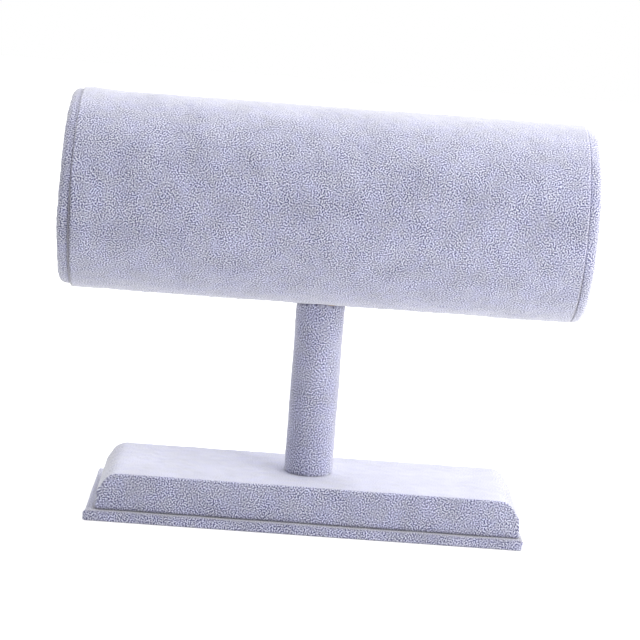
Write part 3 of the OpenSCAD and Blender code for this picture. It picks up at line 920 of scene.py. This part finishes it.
def velvet():
    """Brushed lavender velvet, made once.

    Short wavy lines on the flat cloth, roughened by fibres, take it from root colour to tip colour.
    Where the pressed attribute is high, painted sheen fades the lines and makes the pile lighter. Broad
    patches and slanting streaks multiply that, and the groove attribute takes it to the groove colour as
    painted shade. Fibres catch light at a low angle as sheen. How crisp the lines are and how blue the pile
    is change slowly over the cloth.
    """
    found = bpy.data.materials.get("lavender velvet")
    if found:
        return found
    look = bpy.context.scene.stand_velvet
    crisp, woolly = 0.75 * look.nap_softness, 1.3 * look.nap_softness
    fibre_rise, painted_sheen_share = 0.12, 0.75
    fibre_size, change_size, patch_size, streak_size, cast_size = 0.3 * MM, 9 * MM, 18 * MM, 7 * MM, 7 * MM
    warm_cast, cool_cast = (1.01, 1.01, 0.97, 1), (0.99, 0.99, 1.03, 1)
    contrast = look.patch_contrast
    material, tree, shader = new_finish("lavender velvet")
    where = add_node(tree, "ShaderNodeTexCoord").outputs["Object"]
    # Painted sheen on upward faces, from the pressed attribute
    pressed = point_value(tree, "pressed")
    lines = worms(tree, point_value(tree, "cloth", "Vector"), look.nap_pitch)
    fibres = between_values(tree, noise(tree, where, fibre_size, 1.0), 0, 1, -fibre_rise, fibre_rise)
    soft = spread(tree, noise(tree, where, change_size), crisp, woolly)
    low, high = maths(tree, "SUBTRACT", 0.5, soft), maths(tree, "ADD", 0.5, soft)
    nap = between_values(tree, maths(tree, "ADD", lines, fibres), low, high, 0, 1)
    # Painted sheen fades the lines towards tip colour
    painted_sheen_mix = maths(tree, "MULTIPLY", maths(tree, "POWER", pressed, 3.0), painted_sheen_share)
    nap = between_values(tree, painted_sheen_mix, 0, 1, nap, look.painted_sheen_tips)
    # The dark root colour stands for painted shade deep in the pile
    pile = mixed(tree, nap, (*look.root_colour, 1), (*look.tip_colour, 1))
    slant = stretched(tree, where, (1.0, 1.0, 0.35), (0, 35, 20))
    patches = spread(tree, noise(tree, where, patch_size, 2.0), 1 - 2 * contrast, 1 + 2 * contrast)
    streaks = spread(tree, noise(tree, slant, streak_size, 1.0), 1 - contrast, 1 + contrast)
    # Painted sheen also makes the pile lighter; the patches and streaks are the velvet's own tone
    gain = between_values(tree, pressed, 0, 1, 1, 1 + look.painted_sheen_gain)
    tone_and_painted_sheen = maths(tree, "MULTIPLY", maths(tree, "MULTIPLY", patches, streaks), gain)
    pile = mixed(tree, 1.0, pile, grey(tree, tone_and_painted_sheen), "MULTIPLY")
    cast = between_values(tree, noise(tree, where, cast_size, 1.0), 0.35, 0.65, 0, 1)
    pile = mixed(tree, 1.0, pile, mixed(tree, cast, warm_cast, cool_cast), "MULTIPLY")
    # Painted shade from the groove attribute, deeper on the dark lines
    groove = maths(tree, "MULTIPLY", point_value(tree, "groove"), between_values(tree, nap, 0, 1, 1.25, 0.6))
    put(tree, shader.inputs["Base Color"], mixed(tree, groove, pile, (*look.painted_shade_colour, 1)))
    shader.inputs["Roughness"].default_value = 0.95
    shader.inputs["Specular IOR Level"].default_value = 0.1
    shader.inputs["Sheen Weight"].default_value = 1.0
    shader.inputs["Sheen Roughness"].default_value = 0.6
    shader.inputs["Sheen Tint"].default_value = (1, 1, 1, 1)
    tufts = noise(tree, where, look.nap_pitch)
    bump = add_node(tree, "ShaderNodeBump", {"Strength": 0.5, "Distance": look.nap_depth, "Height": tufts})
    put(tree, shader.inputs["Normal"], bump.outputs[0])
    return material


def plain_finish(name, dark, light, size, stretch, roughness, metallic):
    """A finish for an inner piece: grain from dark to light, about size metres, stretched along its run."""
    rough_change, grain_depth = 0.08, 0.05 * MM
    material, tree, shader = new_finish(name)
    where = add_node(tree, "ShaderNodeTexCoord").outputs["Object"]
    grain = noise(tree, stretched(tree, where, stretch, (0, 0, 0)), size, detail=4.0, roughness=0.6)
    share = spread(tree, grain, 0, 1)
    put(tree, shader.inputs["Base Color"], mixed(tree, share, (*dark, 1), (*light, 1)))
    rough = spread(tree, grain, roughness - rough_change, roughness + rough_change)
    put(tree, shader.inputs["Roughness"], rough)
    shader.inputs["Metallic"].default_value = metallic
    raised = add_node(tree, "ShaderNodeBump", {"Strength": 0.4, "Distance": grain_depth, "Height": grain})
    put(tree, shader.inputs["Normal"], raised.outputs[0])
    return material


INNER_FINISHES = {
    "board": ("pressed fibre board", (0.30, 0.20, 0.12), (0.48, 0.34, 0.21), 1.2 * MM, (1, 1, 1), 0.8),
    "dowel": ("sanded beech", (0.55, 0.38, 0.22), (0.75, 0.57, 0.37), 2.5 * MM, (1, 1, 0.06), 0.6),
    "tube": ("grey cardboard", (0.30, 0.25, 0.19), (0.46, 0.40, 0.31), 1.5 * MM, (0.3, 1, 1), 0.85),
    "foam": ("white foam", (0.62, 0.61, 0.58), (0.85, 0.84, 0.80), 0.6 * MM, (1, 1, 1), 0.9),
    "liner": ("grey liner card", (0.10, 0.10, 0.11), (0.17, 0.17, 0.18), 0.8 * MM, (1, 1, 1), 0.85),
    "screw": ("zinc plated steel", (0.45, 0.46, 0.48), (0.66, 0.67, 0.69), 1.0 * MM, (1, 1, 1), 0.35),
}
INNER_NODES = {
    "board": ("plinth_board", "block_board", "end_plug_left", "end_plug_right"),
    "dowel": ("post_core", "roll_saddle"),
    "tube": ("roll_tube",),
    "foam": ("end_pad_left", "end_pad_right"),
    "liner": ("base_liner",),
    "screw": ("base_screw", "roll_washer", "roll_screw"),
}


def finish_inner_pieces():
    """Gives each CAD node its own procedural finish."""
    for slot_name, finish in INNER_FINISHES.items():
        material = plain_finish(*finish, metallic=1.0 if slot_name == "screw" else 0.0)
        for node in INNER_NODES[slot_name]:
            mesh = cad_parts[node].data
            mesh.materials.clear()
            mesh.materials.append(material)


# The stage


def make_floor():
    """A pale floor: a wide flat sheet that shows white to the camera and keeps the stand's shadow."""
    floor_half, columns, rows = 3.0, 8, 48
    across = np.linspace(-floor_half, floor_half, columns + 1)
    run = np.linspace(-floor_half, floor_half, rows + 1)
    x, y = np.meshgrid(across, run)
    points = np.stack([x, y, np.zeros_like(x)], -1)
    mesh = bpy.data.meshes.new("floor")
    faces = grid_faces(rows + 1, columns + 1, 0, False)
    mesh.from_pydata(points.reshape(-1, 3).tolist(), [], faces.tolist())
    piece = add_object("floor", mesh)
    material = bpy.data.materials.new("pale floor")
    tree = empty_tree(material)
    where = add_node(tree, "ShaderNodeTexCoord").outputs["Object"]
    mottle = spread(tree, noise(tree, where, 50 * MM, 3.0), 0.87, 0.91)
    matt = add_node(tree, "ShaderNodeBsdfDiffuse", {"Color": grey(tree, mottle)}).outputs[0]
    glow = add_node(tree, "ShaderNodeEmission", {"Color": (1, 1, 1, 1), "Strength": 0.55}).outputs[0]
    both = add_node(tree, "ShaderNodeAddShader", {0: matt, 1: glow}).outputs[0]
    floor = add_node(tree, "ShaderNodeMixShader", {0: seen_share(tree), 1: matt, 2: both}).outputs[0]
    output = add_node(tree, "ShaderNodeOutputMaterial")
    tree.links.new(floor, output.inputs["Surface"])
    mesh.materials.append(material)


def seen_share(tree):
    """1 for rays from the camera and for rays that a shiny or clear surface sends on, otherwise 0."""
    path = add_node(tree, "ShaderNodeLightPath").outputs
    seen = maths(tree, "MAXIMUM", path["Is Camera Ray"], path["Is Glossy Ray"])
    return maths(tree, "MAXIMUM", seen, path["Is Transmission Ray"])


def light_studio():
    """Even studio light whose strength changes with direction, with a white background.

    The strength at direction d is the sum over the five sides of their strengths times the square of
    d's part towards that side, so that it is even between them.
    """
    studio = bpy.context.scene.stand_studio
    world = bpy.data.worlds.new("studio")
    bpy.context.scene.world = world
    tree = empty_tree(world)
    light_from_below, turn_over = 0.8, 0.35
    towards = add_node(tree, "ShaderNodeTexCoord").outputs["Generated"]
    split = add_node(tree, "ShaderNodeSeparateXYZ", {0: towards}).outputs

    def side(part, below, above):
        """Strength from one axis: below on its low side and above on its high side, times part squared."""
        level = between_values(tree, part, -turn_over, turn_over, below, above)
        return maths(tree, "MULTIPLY", maths(tree, "MULTIPLY", part, part), level)

    across = side(split[0], studio.left_light, studio.right_light)
    along = side(split[1], studio.front_light, studio.back_light)
    up = side(split[2], light_from_below, studio.top_light)
    level = maths(tree, "ADD", maths(tree, "ADD", across, along), up)
    lit = add_node(tree, "ShaderNodeBackground", {"Color": (1, 1, 1, 1), "Strength": level}).outputs[0]
    white = add_node(tree, "ShaderNodeBackground", {"Color": (1, 1, 1, 1), "Strength": 1.0}).outputs[0]
    shown = add_node(tree, "ShaderNodeMixShader", {0: seen_share(tree), 1: lit, 2: white}).outputs[0]
    output = add_node(tree, "ShaderNodeOutputWorld")
    tree.links.new(shown, output.inputs["Surface"])


def add_lamp():
    """A broad soft lamp in front of the stand on the right, turned towards it."""
    studio = bpy.context.scene.stand_studio
    data = bpy.data.lights.new("soft lamp", "AREA")
    data.shape = "DISK"
    data.size = studio.lamp_size
    data.energy = studio.lamp_power
    lamp = add_object("soft lamp", data)
    place = Vector(studio.lamp_place)
    aim = place - Vector((0, 0, ROLL_AXIS / 2))
    lamp.matrix_world = Matrix.Translation(place) @ aim.to_track_quat("Z", "Y").to_matrix().to_4x4()


def add_camera():
    """The photograph's viewpoint: a camera on a sphere round its target, tilted about its line of sight."""
    studio = bpy.context.scene.stand_studio
    turn, rise, tilt = studio.camera_azimuth, studio.camera_elevation, studio.camera_roll
    back = Vector((math.sin(turn) * math.cos(rise), -math.cos(turn) * math.cos(rise), math.sin(rise)))
    right = Vector((math.cos(turn), math.sin(turn), 0))
    up = back.cross(right)
    x_axis = math.cos(tilt) * right + math.sin(tilt) * up
    y_axis = math.cos(tilt) * up - math.sin(tilt) * right
    place = Vector(studio.camera_target) + studio.camera_distance * back
    data = bpy.data.cameras.new("photograph viewpoint")
    data.lens = studio.camera_lens
    data.sensor_width = 36.0
    camera = add_object("camera", data)
    camera.matrix_world = Matrix.Translation(place) @ Matrix((x_axis, y_axis, back)).transposed().to_4x4()
    bpy.context.scene.camera = camera


# Operators and panel


class STAND_OT_roll_jacket(bpy.types.Operator):
    """Make the velvet jacket of the roll"""

    bl_idname = "stand.roll_jacket"
    bl_label = "Roll jacket"

    def execute(self, context):
        make_roll_jacket()
        return {"FINISHED"}


class STAND_OT_post_sleeve(bpy.types.Operator):
    """Make the velvet sleeve of the post"""

    bl_idname = "stand.post_sleeve"
    bl_label = "Post sleeve"

    def execute(self, context):
        make_post_sleeve()
        return {"FINISHED"}


class STAND_OT_block_jacket(bpy.types.Operator):
    """Make the velvet jacket of the block"""

    bl_idname = "stand.block_jacket"
    bl_label = "Block jacket"

    def execute(self, context):
        make_block_jacket()
        return {"FINISHED"}


class STAND_OT_plate_jacket(bpy.types.Operator):
    """Make the velvet jacket of the base plate"""

    bl_idname = "stand.plate_jacket"
    bl_label = "Plate jacket"

    def execute(self, context):
        make_plate_jacket()
        return {"FINISHED"}


class STAND_OT_end_covers(bpy.types.Operator):
    """Make the padded velvet covers of the roll's two ends"""

    bl_idname = "stand.end_covers"
    bl_label = "End covers"

    def execute(self, context):
        for side in (-1, 1):
            make_end_cover(side)
        return {"FINISHED"}


class STAND_OT_inner_finishes(bpy.types.Operator):
    """Give the boards, dowel, tube, foam, liner and screws their finishes"""

    bl_idname = "stand.inner_finishes"
    bl_label = "Inner finishes"

    def execute(self, context):
        finish_inner_pieces()
        return {"FINISHED"}


class STAND_OT_stage(bpy.types.Operator):
    """Set up the floor, the light and the camera"""

    bl_idname = "stand.stage"
    bl_label = "Stage"

    def execute(self, context):
        context.scene.view_settings.view_transform = "Standard"
        add_camera()
        add_lamp()
        make_floor()
        light_studio()
        return {"FINISHED"}


OPERATORS = (
    STAND_OT_stage,
    STAND_OT_roll_jacket,
    STAND_OT_post_sleeve,
    STAND_OT_block_jacket,
    STAND_OT_plate_jacket,
    STAND_OT_end_covers,
    STAND_OT_inner_finishes,
)


class STAND_PT_pieces(bpy.types.Panel):
    """The stand's pieces and their settings"""

    bl_idname = "STAND_PT_pieces"
    bl_label = "Display stand"
    bl_space_type = "VIEW_3D"
    bl_region_type = "UI"
    bl_category = "Stand"

    def draw(self, context):
        layout = self.layout
        for operator in OPERATORS:
            layout.operator(operator.bl_idname)
        for settings in (context.scene.stand_velvet, context.scene.stand_jackets, context.scene.stand_studio):
            column = layout.column()
            for name in settings.__annotations__:
                column.prop(settings, name)


SETTINGS = {
    "stand_velvet": VelvetSettings,
    "stand_jackets": JacketSettings,
    "stand_studio": StudioSettings,
}


def register():
    for group in (*SETTINGS.values(), *OPERATORS, STAND_PT_pieces):
        bpy.utils.register_class(group)
    for name, group in SETTINGS.items():
        setattr(bpy.types.Scene, name, PointerProperty(type=group))


def unregister():
    for name in SETTINGS:
        delattr(bpy.types.Scene, name)
    for group in reversed((*SETTINGS.values(), *OPERATORS, STAND_PT_pieces)):
        bpy.utils.unregister_class(group)


def main():
    register()
    bpy.ops.stand.stage()
    bpy.ops.stand.roll_jacket()
    bpy.ops.stand.post_sleeve()
    bpy.ops.stand.block_jacket()
    bpy.ops.stand.plate_jacket()
    bpy.ops.stand.end_covers()
    bpy.ops.stand.inner_finishes()


if __name__ == "__main__":
    main()
